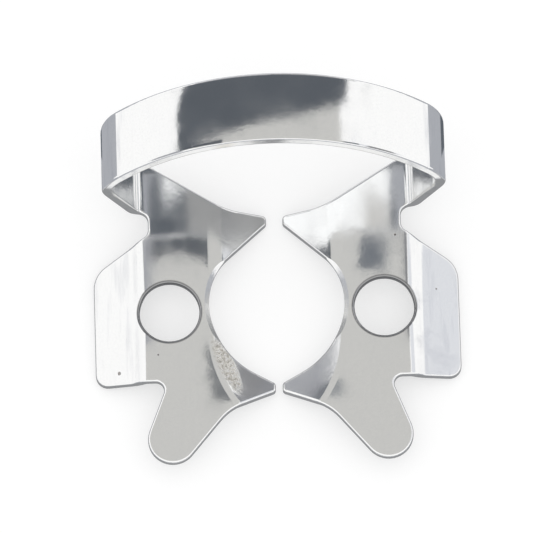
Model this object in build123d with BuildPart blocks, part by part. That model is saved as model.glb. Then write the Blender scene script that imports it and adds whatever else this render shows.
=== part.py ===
from build123d import *
from math import atan2, asin, cos, degrees, hypot, radians, sin, sqrt, tan
import os

os.makedirs("parts", exist_ok=True)

# Rubber dam clamp for a molar, stamped and bent from one spring steel strip. Sizes in millimetres and degrees.
# X runs across the tooth, +Y is distal (the bow side), +Z is occlusal. X is zero midway between the jaws,
# Y is zero on the line through the two forceps holes, and Z is zero under the four prong tips.

# Strip
sheet = 0.6
edge_round = 0.14
overrun = 2.0
upright_limit = 0.1
along_limit = 0.9

# Jaw plates and forceps holes
plate_height = 1.7
hole_wall = 0.56
hole_radius = 1.72

# Opening that goes round the neck of the tooth
opening_half_width = 3.89
opening_y = 0.48
opening_front_radius = 4.5
opening_front_sweep = 63.5
opening_rear_radius = 3.65
opening_rear_sweep = 46.0
opening_bevel = 0.25
bevel_lean = 45.0

# Front prongs, folded down along a curved crease
front_gap = 0.4
front_tip_width = 0.52
front_tip_round = 0.24
front_tilt = 21.8
crease_end_y = -0.6
crease_turn = 6.0
crease_radius = 7.0
crease_inside = 0.4

# Rear prongs, rolled down in a soft bend
rear_gap = 0.95
rear_tip_width = 0.5
rear_tip_round = 0.25
rear_tilt = 20.5
rear_bend = 2.5

# Side wings, let down by a joggle beside the holes
joggle_width = 0.62
joggle_tilt = 38.0
joggle_inside = 0.25
wing_clearance = 0.02
wing_reach = 4.33
wing_front_y = -4.1
wing_slant = 33.0
wing_front_round = 0.75
wing_rear_round = 1.5

# Front tongues
tongue_y = -7.5
tongue_radius = 1.42
tongue_outer_lean = 21.5
tongue_inner_lean = 40.5
notch_round = 0.5
web_slope = 24.5
web_round = 3.0

# Necks between the jaws and the bow
neck_front_y = 5.95
neck_side_reach = 1.11
neck_side_length = 1.3
neck_round = 0.55
neck_reach = 1.63
neck_bend = 0.5
rear_edge_rise = 0.28
rear_edge_lean = 32.0
rear_edge_round = 4.0
rear_corner_inset = 0.5
rear_corner_round = 2.0

# Bow
bow_height = 11.85
bow_spread = 2.0
bow_rear_y = 8.85
crown_radius = 13.1
shoulder_radius = 2.86
bow_lean = 16.5
lean_height = 4.0
lean_round = 6.0
taper_height = 7.5

# Places that follow from those sizes
crease_bend = crease_inside + sheet
joggle_bend = joggle_inside + sheet
hole_x = opening_half_width + hole_wall + hole_radius
tongue_x = hole_x
wing_x = hole_x + wing_reach
neck_side_x = hole_x + neck_side_reach
neck_corner_x = hole_x + neck_reach
bow_half_width = neck_corner_x + bow_spread
shoulder_x = bow_half_width - shoulder_radius
crown_z = bow_height - crown_radius
shoulder_z = crown_z + sqrt((crown_radius - shoulder_radius) ** 2 - shoulder_x**2)
shoulder_start = degrees(atan2(shoulder_z - crown_z, shoulder_x))
foot_distance = hypot(neck_corner_x - shoulder_x, shoulder_z - plate_height)
foot_sight = degrees(atan2(shoulder_z - plate_height, shoulder_x - neck_corner_x))
limb_angle = foot_sight - degrees(asin((shoulder_radius - sheet) / foot_distance))
shoulder_sweep = shoulder_start - limb_angle + 90
limb_x = shoulder_x + (shoulder_radius - sheet) * sin(radians(limb_angle))
limb_z = shoulder_z - (shoulder_radius - sheet) * cos(radians(limb_angle))
neck_x = neck_corner_x - neck_bend * tan(radians(limb_angle / 2))
foot_top = plate_height + neck_bend + sheet / 2

joggle_x = neck_x + joggle_bend * tan(radians(joggle_tilt / 2))
valley_x = joggle_x + joggle_width
valley_z = plate_height - joggle_width * tan(radians(joggle_tilt))
wing_end_x = wing_x + overrun
wing_tilt = degrees(atan2(valley_z - sheet - wing_clearance, wing_x - valley_x))
wing_end_z = valley_z - (wing_end_x - valley_x) * tan(radians(wing_tilt))

rear_drop_x = opening_half_width - rear_bend * tan(radians(rear_tilt / 2))
front_turn = radians(opening_front_sweep)
front_centre_x = opening_half_width - opening_front_radius
rear_centre_x = opening_half_width - opening_rear_radius
front_arc_x = front_centre_x + opening_front_radius * cos(front_turn)
front_arc_y = opening_y - opening_front_radius * sin(front_turn)
front_tip_x = front_gap / 2
front_tip_y = front_arc_y - (front_arc_x - front_tip_x) / tan(front_turn)
rear_tip_x = rear_gap / 2
crease_end_x = front_centre_x + sqrt(opening_front_radius**2 - (opening_y - crease_end_y) ** 2)
crease_centre_x = crease_end_x - crease_radius * cos(radians(crease_turn))
crease_centre_y = crease_end_y - crease_radius * sin(radians(crease_turn))
crease_x = crease_centre_x + crease_radius
rear_turn = radians(opening_rear_sweep)
rear_arc_x = rear_centre_x + opening_rear_radius * cos(rear_turn)
rear_arc_y = opening_y + opening_rear_radius * sin(rear_turn)
rear_inner_y = rear_arc_y + (rear_arc_x - rear_tip_x) / tan(rear_turn)
bevel_reach = opening_bevel * tan(radians(bevel_lean))
bevel_front_radius = opening_front_radius - bevel_reach
bevel_front_x = front_centre_x + bevel_front_radius * cos(front_turn)
bevel_front_y = opening_y - bevel_front_radius * sin(front_turn)
bevel_rear_radius = opening_rear_radius - bevel_reach
bevel_rear_x = rear_centre_x + bevel_rear_radius * cos(rear_turn)
bevel_rear_y = opening_y + bevel_rear_radius * sin(rear_turn)

inner_lean = radians(tongue_inner_lean)
outer_lean = radians(tongue_outer_lean)
inner_x = tongue_x - tongue_radius * cos(inner_lean)
inner_y = tongue_y - tongue_radius * sin(inner_lean)
outer_x = tongue_x + tongue_radius * cos(outer_lean)
outer_y = tongue_y + tongue_radius * sin(outer_lean)
web_fall = tan(radians(web_slope))
inner_fall = 1 / tan(inner_lean)
prong_front_y = front_tip_y - front_tip_width
web_x = (prong_front_y + web_fall * front_tip_x - inner_y - inner_fall * inner_x) / (web_fall - inner_fall)
web_y = inner_y + (inner_x - web_x) * inner_fall
notch_x = outer_x - (wing_front_y - outer_y) * tan(outer_lean)
slant_fall = tan(radians(wing_slant))
wing_slant_y = neck_front_y - neck_side_length
wing_rear_y = wing_slant_y - (wing_x - neck_side_x) * slant_fall
neck_side_y = neck_front_y - neck_side_length / 2
rear_tip_y = rear_inner_y + rear_tip_width
rear_edge_y = rear_tip_y + rear_edge_rise
rear_corner_x = neck_corner_x - rear_corner_inset
rear_edge_x = rear_corner_x - (bow_rear_y - rear_edge_y) / tan(radians(rear_edge_lean))
foot_outer_x = limb_x + shoulder_radius
crown_top = bow_height + overrun
crown_rear_y = bow_rear_y + (crown_top - lean_height) * tan(radians(bow_lean))
crown_front_y = neck_front_y + (crown_top - taper_height) * tan(radians(bow_lean))

# Flat outline of one jaw, seen from above, with its tongue, wing and neck
with BuildSketch() as jaw_outline:
    with BuildLine():
        CenterArc((front_centre_x, opening_y), opening_front_radius, 0, -opening_front_sweep)
        FilletPolyline(
            (front_arc_x, front_arc_y),
            (front_tip_x, front_tip_y),
            (front_tip_x, prong_front_y),
            (web_x, web_y),
            (inner_x, inner_y),
            radius=(front_tip_round, front_tip_round, web_round),
        )
        CenterArc(
            (tongue_x, tongue_y),
            tongue_radius,
            180 + tongue_inner_lean,
            180 + tongue_outer_lean - tongue_inner_lean,
        )
        FilletPolyline(
            (outer_x, outer_y),
            (notch_x, wing_front_y),
            (wing_x, wing_front_y),
            (wing_x, wing_rear_y),
            (neck_side_x, wing_slant_y),
            (neck_side_x, neck_front_y),
            (foot_outer_x, neck_front_y),
            (foot_outer_x, bow_rear_y),
            (rear_corner_x, bow_rear_y),
            (rear_edge_x, rear_edge_y),
            (rear_tip_x, rear_tip_y),
            (rear_tip_x, rear_inner_y),
            (rear_arc_x, rear_arc_y),
            radius=(
                notch_round,
                wing_front_round,
                wing_rear_round,
                neck_round,
                neck_round,
                0,
                0,
                rear_corner_round,
                rear_edge_round,
                rear_tip_round,
                rear_tip_round,
            ),
        )
        CenterArc((rear_centre_x, opening_y), opening_rear_radius, 0, opening_rear_sweep)
    make_face()

# Front of the jaw: flat plate and tongue, with the prong folded down inside a curved crease
with BuildPart() as front_plate:
    with BuildSketch(Plane.XZ.offset(-crease_centre_y)):
        with BuildLine():
            FilletPolyline(
                (0, plate_height - crease_x * tan(radians(front_tilt))),
                (crease_x, plate_height),
                (wing_end_x + tongue_radius, plate_height),
                radius=crease_bend,
            )
            offset(amount=sheet, side=Side.RIGHT)
        make_face()
    revolve(axis=Axis((crease_centre_x, crease_centre_y, 0), (0, 0, 1)))
    split(bisect_by=Plane.XZ.offset(-opening_y), keep=Keep.TOP)

# Side of the jaw: flat plate, joggle beside the forceps hole, and the wing beyond it
with BuildPart() as side_wing:
    with BuildSketch(Plane.XZ.offset(-neck_side_y)):
        with BuildLine():
            FilletPolyline(
                (hole_x, plate_height),
                (joggle_x, plate_height),
                (valley_x, valley_z),
                (wing_end_x, wing_end_z),
                radius=joggle_bend,
            )
            offset(amount=sheet, side=Side.RIGHT)
        make_face()
    extrude(amount=neck_side_y - wing_front_y + notch_round)

# Rear of the jaw: flat plate with the prong rolled down in a soft bend
with BuildPart() as rear_plate:
    with BuildSketch(Plane.XZ.offset(-bow_rear_y)):
        with BuildLine():
            FilletPolyline(
                (0, plate_height - rear_drop_x * tan(radians(rear_tilt))),
                (rear_drop_x, plate_height),
                (neck_x, plate_height),
                radius=rear_bend,
            )
            offset(amount=sheet, side=Side.RIGHT)
        make_face()
    extrude(amount=bow_rear_y - opening_y)

# Section of half the bow with its foot: neck bend, limb, shoulder and crown
with BuildSketch(Plane.XZ.offset(-crown_rear_y)) as bow_section:
    with BuildLine():
        FilletPolyline(
            (hole_x, plate_height),
            (neck_corner_x, plate_height),
            (limb_x, limb_z),
            radius=neck_bend,
        )
        CenterArc((shoulder_x, shoulder_z), shoulder_radius - sheet, limb_angle - 90, shoulder_sweep)
        CenterArc((0, crown_z), crown_radius - sheet, shoulder_start, 90 - shoulder_start)
        Line((0, bow_height - sheet), (0, bow_height))
        CenterArc((0, crown_z), crown_radius, shoulder_start, 90 - shoulder_start)
        CenterArc((shoulder_x, shoulder_z), shoulder_radius, limb_angle - 90, shoulder_sweep)
        FilletPolyline(
            (limb_x + sheet * sin(radians(limb_angle)), limb_z - sheet * cos(radians(limb_angle))),
            (neck_corner_x + sheet * tan(radians(limb_angle / 2)), plate_height - sheet),
            (hole_x, plate_height - sheet),
            radius=neck_bend + sheet,
        )
        Line((hole_x, plate_height - sheet), (hole_x, plate_height))
    make_face()

# The jaw and the foot of the bow, cut to the outline
with BuildPart() as jaw:
    add(front_plate)
    with BuildSketch(Plane.XY) as joggle_side:
        with Locations((hole_x, wing_front_y - notch_round)):
            Rectangle(wing_end_x, wing_end_x, align=(Align.MIN, Align.MIN))
    extrude(amount=bow_height, both=True, mode=Mode.SUBTRACT)
    add(side_wing)
    add(rear_plate)
    extrude(bow_section.sketch, amount=crown_rear_y - neck_side_y)
    with BuildSketch(Plane.XY.offset(-overrun)):
        add(jaw_outline.sketch)
    extrude(amount=foot_top + overrun, mode=Mode.INTERSECT)

# Bevel round the top of the opening, which runs out where the prongs fall away
with BuildPart() as opening_edge:
    with BuildSketch(Plane.XY.offset(plate_height - 2 * opening_bevel)):
        with BuildLine():
            CenterArc((front_centre_x, opening_y), bevel_front_radius, 0, -opening_front_sweep)
            CenterArc((rear_centre_x, opening_y), bevel_rear_radius, 0, opening_rear_sweep)
            Polyline(
                (bevel_front_x, bevel_front_y),
                (-hole_x, bevel_front_y),
                (-hole_x, bevel_rear_y),
                (bevel_rear_x, bevel_rear_y),
            )
        make_face()
    extrude(amount=3 * opening_bevel, taper=-bevel_lean)

# The bow above its foot, leaning back, and tapered towards the foot along its front edge
with BuildPart() as bow_half:
    extrude(bow_section.sketch, amount=crown_rear_y - neck_front_y)
    with BuildSketch(Plane.YZ):
        with BuildLine():
            FilletPolyline(
                (neck_front_y, foot_top),
                (bow_rear_y, foot_top),
                (bow_rear_y, lean_height),
                (crown_rear_y, crown_top),
                (crown_front_y, crown_top),
                (neck_front_y, taper_height),
                (neck_front_y, lean_height),
                radius=(0, lean_round, 0, 0, lean_round),
            )
            Line((neck_front_y, lean_height), (neck_front_y, foot_top))
        make_face()
    extrude(amount=bow_half_width + overrun, mode=Mode.INTERSECT)


def is_sheared(face):
    """True for a face cut through the strip: upright all round the jaw, or facing along Y on the bow."""
    upright = abs(face.normal_at().Z) < upright_limit
    return (upright and face.center().Z < foot_top) or abs(face.normal_at().Y) > along_limit


# One half in one piece, with its forceps hole punched and its sheared edges rounded
with BuildPart() as half:
    add(jaw)
    add(bow_half)
    with Locations((hole_x, 0, plate_height)):
        Hole(hole_radius)
    sheared = half.faces().filter_by(is_sheared)
    borders = ShapeList(edge for face in sheared for edge in face.edges())
    outer_edges = ShapeList(edge for edge in borders if borders.count(edge) == 1)
    inner_edges = outer_edges.filter_by_position(Axis.X, -front_gap, front_gap / 4)
    rims = (outer_edges - inner_edges).filter_by(Axis.Z, reverse=True)
    fillet(rims, edge_round)
    add(opening_edge, mode=Mode.SUBTRACT)

with BuildPart() as clamp:
    add(half)
    mirror(about=Plane.YZ)

clamp.part.label = "clamp"
export_step(clamp.part, "parts/clamp.step")
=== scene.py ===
import bpy
import math
from mathutils import Euler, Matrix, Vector

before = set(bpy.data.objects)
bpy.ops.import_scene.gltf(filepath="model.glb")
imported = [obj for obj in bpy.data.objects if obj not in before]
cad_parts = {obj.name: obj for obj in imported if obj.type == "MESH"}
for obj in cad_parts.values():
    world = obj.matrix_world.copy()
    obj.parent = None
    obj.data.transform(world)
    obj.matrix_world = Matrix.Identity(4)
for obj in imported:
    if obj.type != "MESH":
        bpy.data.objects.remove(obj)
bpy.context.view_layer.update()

scene = bpy.context.scene
scene.view_settings.view_transform = "Standard"

clamp_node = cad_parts["clamp"]

# Every place and size below is in millimetres
MM = 0.001

# Camera: high above and a little in front of the clamp, with a long lens
IMAGE_PIXELS = 533
PIXELS_PER_MM = 17.5
LENS = 500.0
SENSOR = 36.0
ELEVATION = 75.0
AZIMUTH = -1.2
ROLL = -0.5
AIM = Vector((-0.54, 1.91, 4.0)) * MM
NEAREST_SHARE = 0.1
FARTHEST_SHARE = 10


def add_camera():
    data = bpy.data.cameras.new("camera")
    camera = bpy.data.objects.new("camera", data)
    scene.collection.objects.link(camera)
    data.lens = LENS
    data.sensor_width = SENSOR
    distance = IMAGE_PIXELS / PIXELS_PER_MM * MM * LENS / SENSOR
    tilt = math.radians(ELEVATION)
    turn = math.radians(AZIMUTH)
    back = Vector((math.sin(turn) * math.cos(tilt), -math.cos(turn) * math.cos(tilt), math.sin(tilt)))
    camera.rotation_mode = "QUATERNION"
    camera.location = AIM + back * distance
    look = (-back).to_track_quat("-Z", "Y")
    camera.rotation_quaternion = look @ Euler((0, 0, math.radians(ROLL))).to_quaternion()
    data.clip_start = distance * NEAREST_SHARE
    data.clip_end = distance * FARTHEST_SHARE
    scene.camera = camera


add_camera()


# Parts of a finish
def new_finish(name):
    material = bpy.data.materials.new(name)
    material.use_nodes = True
    return material, material.node_tree, material.node_tree.nodes["Principled BSDF"]


def steel_place(tree, stretch=(1, 1, 1)):
    place = tree.nodes.new("ShaderNodeTexCoord")
    mapping = tree.nodes.new("ShaderNodeMapping")
    mapping.inputs["Scale"].default_value = [share / MM for share in stretch]
    tree.links.new(place.outputs["Object"], mapping.inputs["Vector"])
    return mapping.outputs["Vector"]


def mottle(tree, place, scale, detail, rough=0.5):
    node = tree.nodes.new("ShaderNodeTexNoise")
    node.inputs["Scale"].default_value = scale
    node.inputs["Detail"].default_value = detail
    node.inputs["Roughness"].default_value = rough
    tree.links.new(place, node.inputs["Vector"])
    return node.outputs["Fac"]


def fade(tree, value, low, high, to_low, to_high):
    node = tree.nodes.new("ShaderNodeMapRange")
    node.interpolation_type = "SMOOTHSTEP"
    node.inputs["From Min"].default_value = low
    node.inputs["From Max"].default_value = high
    node.inputs["To Min"].default_value = to_low
    node.inputs["To Max"].default_value = to_high
    tree.links.new(value, node.inputs["Value"])
    return node.outputs["Result"]


def combine(tree, operation, first, second):
    node = tree.nodes.new("ShaderNodeMath")
    node.operation = operation
    for socket, value in zip(node.inputs, (first, second)):
        if isinstance(value, (int, float)):
            socket.default_value = value
        else:
            tree.links.new(value, socket)
    return node.outputs["Value"]


def tint(tree, share, first, second):
    node = tree.nodes.new("ShaderNodeMix")
    node.data_type = "RGBA"
    tree.links.new(share, node.inputs["Factor"])
    for socket, value in ((node.inputs[6], first), (node.inputs[7], second)):
        if isinstance(value, tuple):
            socket.default_value = value
        else:
            tree.links.new(value, socket)
    return node.outputs[2]


# An oval mark with a soft edge: 1 in its middle, 0 outside
def oval_mark(tree, centre, size, turn=0.0, soft=0.35):
    place = tree.nodes.new("ShaderNodeTexCoord")
    shift = tree.nodes.new("ShaderNodeMapping")
    shift.vector_type = "TEXTURE"
    shift.inputs["Location"].default_value = [c * MM for c in centre]
    shift.inputs["Rotation"].default_value = (0, 0, math.radians(turn))
    shift.inputs["Scale"].default_value = [s * MM for s in size]
    tree.links.new(place.outputs["Object"], shift.inputs["Vector"])
    length = tree.nodes.new("ShaderNodeVectorMath")
    length.operation = "LENGTH"
    tree.links.new(shift.outputs["Vector"], length.inputs[0])
    return fade(tree, length.outputs["Value"], 1.0 - soft, 1.0, 1.0, 0.0)


STEEL = (0.93, 0.93, 0.925, 1)
DULL_STEEL = (0.80, 0.805, 0.82, 1)
GROUND_STEEL = (0.86, 0.82, 0.74, 1)
# Colour of the painted shade in the furrows of the ground patch
FURROW_PAINTED_SHADE = (0.38, 0.36, 0.33, 1)
# Colour of the painted shade on the walls and rims of the forceps holes
HOLE_RIM_PAINTED_SHADE = (0.34, 0.34, 0.345, 1)
PIT = (0.35, 0.33, 0.32, 1)

# Forceps holes, with painted shade on their walls and rounded rims inside the reach
HOLE_X = 6.17
HOLE_Z = 1.4
HOLE_SHADE_REACH = 1.93
HOLE_SHADE_HEIGHT = 60

# Marks: middle and size of each
WING_CLOUDS = (9.3, -0.6, 0.9), (2.0, 4.6, 3.0)
GROUND_PATCH = (-2.98, -3.2, 1.1), (0.58, 2.2, 2.0)
GROUND_TURN = 24
WING_PIT = (-9.14, -3.38, 0.9), (0.1, 0.13, 0.5)
ROUND_PITS = ((-6.88, -2.51, 1.7), 0.07), ((6.92, 4.21, 1.7), 0.09), ((9.2, 1.1, 0.9), 0.06)
PIT_HEIGHT = 0.5
JAW_SIDE = 7.6
WING_SIDE = 8.6

# Relief: one step is the height of a mark of strength 1
RELIEF_STEP = 0.01
GRAIN_RELIEF = 0.12
FURROW_RELIEF = 2.6
PIT_RELIEF = 1.5
WAVE_RELIEF = 1.2

# Polish: near a mirror, hazier in the clouds
MIRROR_HAZE = 0.075
CLOUD_HAZE = 0.16
DULL_HAZE = 0.1
GROUND_HAZE = 0.25


def spring_steel():
    material, tree, shader = new_finish("spring_steel")
    shader.inputs["Metallic"].default_value = 1.0

    even = steel_place(tree)
    cloud = mottle(tree, even, 0.55, 3)
    streak = mottle(tree, steel_place(tree, stretch=(1, 0.12, 1)), 2.2, 3)
    grain = mottle(tree, even, 9.0, 4, 0.6)
    scratch = mottle(tree, even, 5.5, 5, 0.7)

    # Duller clouds, mostly on the right wing, faint streaks along the strip and a fine speckle
    wing_middle, wing_size = WING_CLOUDS
    wing = oval_mark(tree, wing_middle, wing_size, soft=0.5)
    dull_wing = combine(tree, "MULTIPLY", fade(tree, cloud, 0.44, 0.62, 0.0, 1.0), wing)
    across = tree.nodes.new("ShaderNodeSeparateXYZ")
    tree.links.new(even, across.inputs["Vector"])
    from_middle = combine(tree, "ABSOLUTE", across.outputs["X"], 0)
    aside = fade(tree, from_middle, JAW_SIDE, WING_SIDE, 0.12, 1.0)
    dull_streak = combine(tree, "MULTIPLY", fade(tree, streak, 0.46, 0.7, 0.0, 0.8), aside)
    dull = combine(tree, "MAXIMUM", dull_wing, dull_streak)
    speckle = fade(tree, grain, 0.4, 0.66, 0.0, 0.22)
    colour = tint(tree, combine(tree, "MAXIMUM", dull, speckle), STEEL, DULL_STEEL)

    # Left crease, with a rough bright patch and painted shade in its furrows
    ground_middle, ground_size = GROUND_PATCH
    ground = oval_mark(tree, ground_middle, ground_size, turn=GROUND_TURN, soft=0.5)
    ground_marks = combine(tree, "MULTIPLY", ground, fade(tree, scratch, 0.36, 0.6, 0.2, 1.0))
    colour = tint(tree, ground_marks, colour, GROUND_STEEL)
    # Painted shade in the furrows of the ground patch
    painted_furrow_shade = combine(tree, "MULTIPLY", ground, fade(tree, scratch, 0.5, 0.6, 0.0, 0.75))
    colour = tint(tree, painted_furrow_shade, colour, FURROW_PAINTED_SHADE)

    # Forceps holes: painted shade darkens their walls and rims
    for side in (-1, 1):
        rim_shade_size = (HOLE_SHADE_REACH, HOLE_SHADE_REACH, HOLE_SHADE_HEIGHT)
        painted_rim_shade = oval_mark(tree, (side * HOLE_X, 0, HOLE_Z), rim_shade_size, soft=0.05)
        colour = tint(tree, painted_rim_shade, colour, HOLE_RIM_PAINTED_SHADE)

    # A few pits
    pits = oval_mark(tree, *WING_PIT)
    for centre, radius in ROUND_PITS:
        pits = combine(tree, "MAXIMUM", pits, oval_mark(tree, centre, (radius, radius, PIT_HEIGHT)))
    colour = tint(tree, pits, colour, PIT)
    tree.links.new(colour, shader.inputs["Base Color"])

    # Polish, rough where it was ground
    haze = fade(tree, cloud, 0.35, 0.7, MIRROR_HAZE, CLOUD_HAZE)
    haze = combine(tree, "ADD", haze, combine(tree, "MULTIPLY", dull, DULL_HAZE))
    haze = combine(tree, "ADD", haze, combine(tree, "MULTIPLY", ground_marks, GROUND_HAZE))
    tree.links.new(haze, shader.inputs["Roughness"])

    # Relief: fine grain and slow waves all over, furrows where it was ground, and the pits sunk
    relief = combine(tree, "MULTIPLY", grain, GRAIN_RELIEF)
    furrows = combine(tree, "MULTIPLY", combine(tree, "MULTIPLY", scratch, ground), FURROW_RELIEF)
    relief = combine(tree, "ADD", relief, furrows)
    relief = combine(tree, "SUBTRACT", relief, combine(tree, "MULTIPLY", pits, PIT_RELIEF))
    relief = combine(tree, "ADD", relief, combine(tree, "MULTIPLY", cloud, WAVE_RELIEF))
    bump = tree.nodes.new("ShaderNodeBump")
    bump.inputs["Strength"].default_value = 1.0
    bump.inputs["Distance"].default_value = RELIEF_STEP * MM
    tree.links.new(relief, bump.inputs["Height"])
    tree.links.new(bump.outputs["Normal"], shader.inputs["Normal"])
    return material


clamp_node.data.materials.clear()
clamp_node.data.materials.append(spring_steel())


# Cards stand round the clamp as in a photographer's tent, and are seen only as reflections
def as_card(card, name, colour, bright):
    card.name = name
    material = bpy.data.materials.new(name)
    material.use_nodes = True
    tree = material.node_tree
    tree.nodes.clear()
    glow = tree.nodes.new("ShaderNodeEmission")
    glow.inputs["Color"].default_value = (*colour, 1)
    glow.inputs["Strength"].default_value = bright
    out = tree.nodes.new("ShaderNodeOutputMaterial")
    tree.links.new(glow.outputs["Emission"], out.inputs["Surface"])
    card.data.materials.append(material)
    card.visible_camera = False
    card.visible_diffuse = False
    card.visible_shadow = False
    card.visible_transmission = False


def flat_card(name, outline, height, colour, bright):
    mesh = bpy.data.meshes.new(name)
    mesh.from_pydata([(x * MM, y * MM, height * MM) for x, y in outline], [], [range(len(outline))])
    card = bpy.data.objects.new(name, mesh)
    scene.collection.objects.link(card)
    as_card(card, name, colour, bright)


def oblong(left, front, right, rear):
    return [(left, front), (right, front), (right, rear), (left, rear)]


BLUE_GREY = (0.85, 0.95, 1.1)
SLATE = (0.88, 0.96, 1.08)
WARM_GREY = (1.0, 0.99, 0.97)
PLATE_GREY = (1.0, 0.995, 0.97)
CREASE_GREY = (0.95, 1.0, 1.05)
COOL_GREY = (0.96, 0.98, 1.05)
PRONG_GREY = (0.98, 0.99, 1.03)
WING_GREY = (0.96, 0.98, 1.03)
EDGE_GREY = (0.97, 0.99, 1.02)
RING_GREY = (0.94, 0.97, 1.05)
WHITE = (0.99, 1.0, 1.01)

# Heights of the cards
UNDER_HEIGHT = 0.01
REAR_HEIGHT = 1.5
LEFT_NECK_HEIGHT = 12.9
NEAR_HEIGHT = 13.0
BOW_CARD_HEIGHT = 20.0
OVERHEAD_HEIGHT = 30.0

BOW_DARK = [
    (-16.0, 10.2),
    (-4.3, 10.4),
    (0.9, 10.7),
    (5.2, 11.4),
    (9.2, 12.25),
    (11.5, 13.0),
    (11.5, 16.0),
    (-11.0, 16.0),
    (-13.5, 15.0),
    (-16.0, 13.4),
]
LEFT_NECK = [(-7.3, 6.0), (-6.4, 6.5), (-5.2, 6.5), (-4.3, 6.1), (-3.5, 5.4), (-3.5, 7.8), (-7.3, 7.8)]
RIGHT_NECK = [(4.9, 5.3), (6.6, 5.1), (6.7, 7.3), (5.3, 7.4)]
LEFT_CREASE = [(-3.8, -2.5), (-2.5, -2.6), (-2.9, -0.8), (-3.6, 0.9), (-4.25, 0.7)]
RIGHT_CREASE = [(2.9, -2.5), (3.9, -2.4), (3.8, -1.4), (3.0, -1.5)]
LEFT_NECK_DARK = [(4.4, 9.4), (15, 9.4), (15, 20), (8.3, 20), (8.3, 13.35), (4.4, 13.35)]

CARDS = [
    # Over the clamp: dark above the bow, warm grey above the plates, pale for the right wing, greys behind
    ("bow_dark_card", BOW_DARK, BOW_CARD_HEIGHT, BLUE_GREY, 0.12),
    ("plate_grey_card", oblong(-20, -12, 17, 19.5), OVERHEAD_HEIGHT, PLATE_GREY, 0.6),
    ("right_wing_card", oblong(21, -12, 45, 14), OVERHEAD_HEIGHT, WING_GREY, 0.8),
    ("rear_card_left", oblong(-30, 20, 0, 60), OVERHEAD_HEIGHT, COOL_GREY, 0.4),
    ("rear_card_right", oblong(0, 20, 30, 60), OVERHEAD_HEIGHT, COOL_GREY, 0.28),
    # In front of the bow: greys for the front prongs, and the dark patches on necks and creases
    ("right_prong_card", oblong(-12, 1.2, -7.3, 7.8), NEAR_HEIGHT, COOL_GREY, 0.4),
    ("left_prong_card", oblong(7.7, 1.2, 12, 7.8), NEAR_HEIGHT, PRONG_GREY, 0.27),
    ("left_neck_card", LEFT_NECK, LEFT_NECK_HEIGHT, SLATE, 0.13),
    ("right_neck_card", RIGHT_NECK, NEAR_HEIGHT, SLATE, 0.2),
    ("left_crease_card", LEFT_CREASE, NEAR_HEIGHT, CREASE_GREY, 0.2),
    ("right_crease_card", RIGHT_CREASE, NEAR_HEIGHT, CREASE_GREY, 0.3),
    # Behind the bow, mirrored by its underside and so by the necks and the inside of its feet
    ("left_neck_dark_card", LEFT_NECK_DARK, REAR_HEIGHT, BLUE_GREY, 0.14),
    ("left_limb_card", oblong(4.4, 13.35, 8.3, 20), REAR_HEIGHT, WHITE, 1.15),
    ("left_rear_prong_card", oblong(-0.5, 9.4, 4.4, 20), REAR_HEIGHT, WHITE, 0.36),
    ("right_rear_prong_card", oblong(-4.5, 9.4, -0.5, 20), REAR_HEIGHT, WHITE, 1.2),
    ("right_neck_grey_card", oblong(-9.8, 9.4, -4.5, 13.1), REAR_HEIGHT, WARM_GREY, 0.66),
    ("right_limb_card", oblong(-9.8, 13.1, -4.5, 20), REAR_HEIGHT, WHITE, 1.15),
    ("right_neck_dark_card", oblong(-12.5, 9.4, -9.8, 14.0), REAR_HEIGHT, BLUE_GREY, 0.16),
    # Under the clamp, mirrored by the sheared edges and so drawing them
    ("under_card", oblong(-13, -12, 13, 9.3), UNDER_HEIGHT, EDGE_GREY, 0.3),
]

for card in CARDS:
    flat_card(*card)

# A low ring that leans outwards round the clamp
RING_FOOT_RADIUS = 14
RING_TOP_RADIUS = 60
RING_DEPTH = 9
RING_MIDDLE_HEIGHT = 4.8


def low_card():
    bpy.ops.object.select_all(action="DESELECT")
    bpy.ops.mesh.primitive_cone_add(
        vertices=96,
        radius1=RING_FOOT_RADIUS * MM,
        radius2=RING_TOP_RADIUS * MM,
        depth=RING_DEPTH * MM,
        end_fill_type="NOTHING",
        location=(0, 0, RING_MIDDLE_HEIGHT * MM),
    )
    as_card(bpy.context.object, "low_card", RING_GREY, 0.45)


low_card()

FLOOR_WIDTH = 2000
FLOOR_GREY = (0.5, 0.5, 0.5, 1)
FLOOR_GLOW = 0.52
STUDIO_WHITE = (1, 1, 1, 1)
STUDIO_LIGHT = 1.04


def add_floor():
    bpy.ops.object.select_all(action="DESELECT")
    bpy.ops.mesh.primitive_plane_add(size=FLOOR_WIDTH * MM, location=(0, 0, 0))
    floor = bpy.context.object
    floor.name = "floor"
    material, tree, shader = new_finish("floor")
    shader.inputs["Base Color"].default_value = FLOOR_GREY
    shader.inputs["Roughness"].default_value = 1.0
    shader.inputs["Specular IOR Level"].default_value = 0.0
    shader.inputs["Emission Color"].default_value = STUDIO_WHITE
    shader.inputs["Emission Strength"].default_value = FLOOR_GLOW
    floor.data.materials.append(material)


add_floor()


def light_studio():
    world = bpy.data.worlds.new("studio")
    scene.world = world
    world.use_nodes = True
    background = world.node_tree.nodes["Background"]
    background.inputs["Color"].default_value = STUDIO_WHITE
    background.inputs["Strength"].default_value = STUDIO_LIGHT


light_studio()
